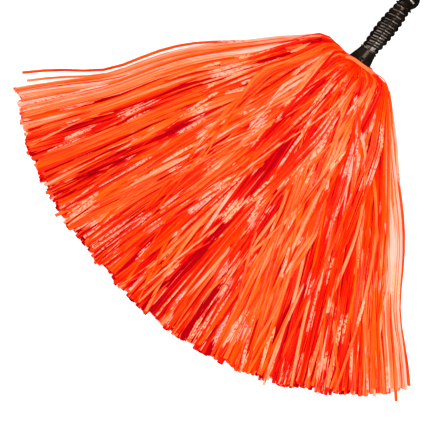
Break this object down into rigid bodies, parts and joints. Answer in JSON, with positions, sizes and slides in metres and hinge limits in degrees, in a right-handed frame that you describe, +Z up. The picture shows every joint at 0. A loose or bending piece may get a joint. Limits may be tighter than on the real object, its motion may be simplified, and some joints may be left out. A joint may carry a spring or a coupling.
{
  "type": "cheer pom pom",
  "caption": "One-handed rooter pom: a ribbed black stick handle with a ball end, whose flared socket holds a wide fan of glossy orange film streamers.",
  "frame": {"origin": "on the surface that the pom lies on, under the middle of its bounding box", "axes": "+Z up; +Y along the handle, from the fan of streamers to the ball end; +X across the fan"},
  "size_m": [0.472, 0.402, 0.0247],
  "materials": {
    "handle_plastic": "satin",
    "knob_plastic": "gloss",
    "pin_plastic": "satin",
    "streamer_film": "gloss"
  },
  "bodies": {
    "handle": {"grip_handle": "handle_plastic", "end_knob": "knob_plastic", "cross_pin": "pin_plastic", "pin_cap": "pin_plastic"},
    "fringe_core": {"streamer_fold": "streamer_film", "binding_tie": "streamer_film", "lower_lock_middle": "streamer_film"},
    "lower_left_3": {"lower_lock_left_3": "streamer_film"},
    "lower_left_2": {"lower_lock_left_2": "streamer_film"},
    "lower_left_1": {"lower_lock_left_1": "streamer_film"},
    "lower_right_1": {"lower_lock_right_1": "streamer_film"},
    "lower_right_2": {"lower_lock_right_2": "streamer_film"},
    "lower_right_3": {"lower_lock_right_3": "streamer_film"},
    "upper_left_3": {"upper_lock_left_3": "streamer_film"},
    "upper_left_2": {"upper_lock_left_2": "streamer_film"},
    "upper_left_1": {"upper_lock_left_1": "streamer_film"},
    "upper_middle": {"upper_lock_middle": "streamer_film"},
    "upper_right_1": {"upper_lock_right_1": "streamer_film"},
    "upper_right_2": {"upper_lock_right_2": "streamer_film"},
    "upper_right_3": {"upper_lock_right_3": "streamer_film"}
  },
  "joints": [
    {"name": "fringe_swing", "type": "hinge", "parent": "handle", "child": "fringe_core", "pos_m": [0, 0.117, 0.01235], "axis": [0, 0, 1], "range_deg": [-20, 20]},
    {"name": "spread_right_1", "type": "hinge", "parent": "fringe_core", "child": "lower_right_1", "pos_m": [0, 0.117, 0.01235], "axis": [0, 0, 1], "range_deg": [0, 4]},
    {"name": "spread_right_2", "type": "hinge", "parent": "lower_right_1", "child": "lower_right_2", "pos_m": [0, 0.117, 0.01235], "axis": [0, 0, 1], "range_deg": [0, 4]},
    {"name": "spread_right_3", "type": "hinge", "parent": "lower_right_2", "child": "lower_right_3", "pos_m": [0, 0.117, 0.01235], "axis": [0, 0, 1], "range_deg": [0, 4]},
    {"name": "spread_left_1", "type": "hinge", "parent": "fringe_core", "child": "lower_left_1", "pos_m": [0, 0.117, 0.01235], "axis": [0, 0, -1], "range_deg": [0, 4]},
    {"name": "spread_left_2", "type": "hinge", "parent": "lower_left_1", "child": "lower_left_2", "pos_m": [0, 0.117, 0.01235], "axis": [0, 0, -1], "range_deg": [0, 4]},
    {"name": "spread_left_3", "type": "hinge", "parent": "lower_left_2", "child": "lower_left_3", "pos_m": [0, 0.117, 0.01235], "axis": [0, 0, -1], "range_deg": [0, 4]},
    {"name": "lift_middle", "type": "hinge", "parent": "fringe_core", "child": "upper_middle", "pos_m": [0, 0.10297, 0.01255], "axis": [-1, 0, 0], "range_deg": [0, 18]},
    {"name": "lift_right_1", "type": "hinge", "parent": "lower_right_1", "child": "upper_right_1", "pos_m": [0.00297, 0.10482, 0.01255], "axis": [-0.9715, -0.2369, 0], "range_deg": [0, 18]},
    {"name": "lift_right_2", "type": "hinge", "parent": "lower_right_2", "child": "upper_right_2", "pos_m": [0.00466, 0.10801, 0.01255], "axis": [-0.8877, -0.4604, 0], "range_deg": [0, 18]},
    {"name": "lift_right_3", "type": "hinge", "parent": "lower_right_3", "child": "upper_right_3", "pos_m": [0.00458, 0.11175, 0.01255], "axis": [-0.7534, -0.6576, 0], "range_deg": [0, 18]},
    {"name": "lift_left_1", "type": "hinge", "parent": "lower_left_1", "child": "upper_left_1", "pos_m": [-0.00297, 0.10482, 0.01255], "axis": [-0.9715, 0.2369, 0], "range_deg": [0, 18]},
    {"name": "lift_left_2", "type": "hinge", "parent": "lower_left_2", "child": "upper_left_2", "pos_m": [-0.00466, 0.10801, 0.01255], "axis": [-0.8877, 0.4604, 0], "range_deg": [0, 18]},
    {"name": "lift_left_3", "type": "hinge", "parent": "lower_left_3", "child": "upper_left_3", "pos_m": [-0.00458, 0.11175, 0.01255], "axis": [-0.7534, 0.6576, 0], "range_deg": [0, 18]}
  ],
  "couplings": [
    {"joint": "spread_right_2", "follows": "spread_right_1", "ratio": 1},
    {"joint": "spread_right_3", "follows": "spread_right_1", "ratio": 1},
    {"joint": "spread_left_1", "follows": "spread_right_1", "ratio": 1},
    {"joint": "spread_left_2", "follows": "spread_right_1", "ratio": 1},
    {"joint": "spread_left_3", "follows": "spread_right_1", "ratio": 1},
    {"joint": "lift_right_1", "follows": "lift_middle", "ratio": 1},
    {"joint": "lift_right_2", "follows": "lift_middle", "ratio": 1},
    {"joint": "lift_right_3", "follows": "lift_middle", "ratio": 1},
    {"joint": "lift_left_1", "follows": "lift_middle", "ratio": 1},
    {"joint": "lift_left_2", "follows": "lift_middle", "ratio": 1},
    {"joint": "lift_left_3", "follows": "lift_middle", "ratio": 1}
  ]
}
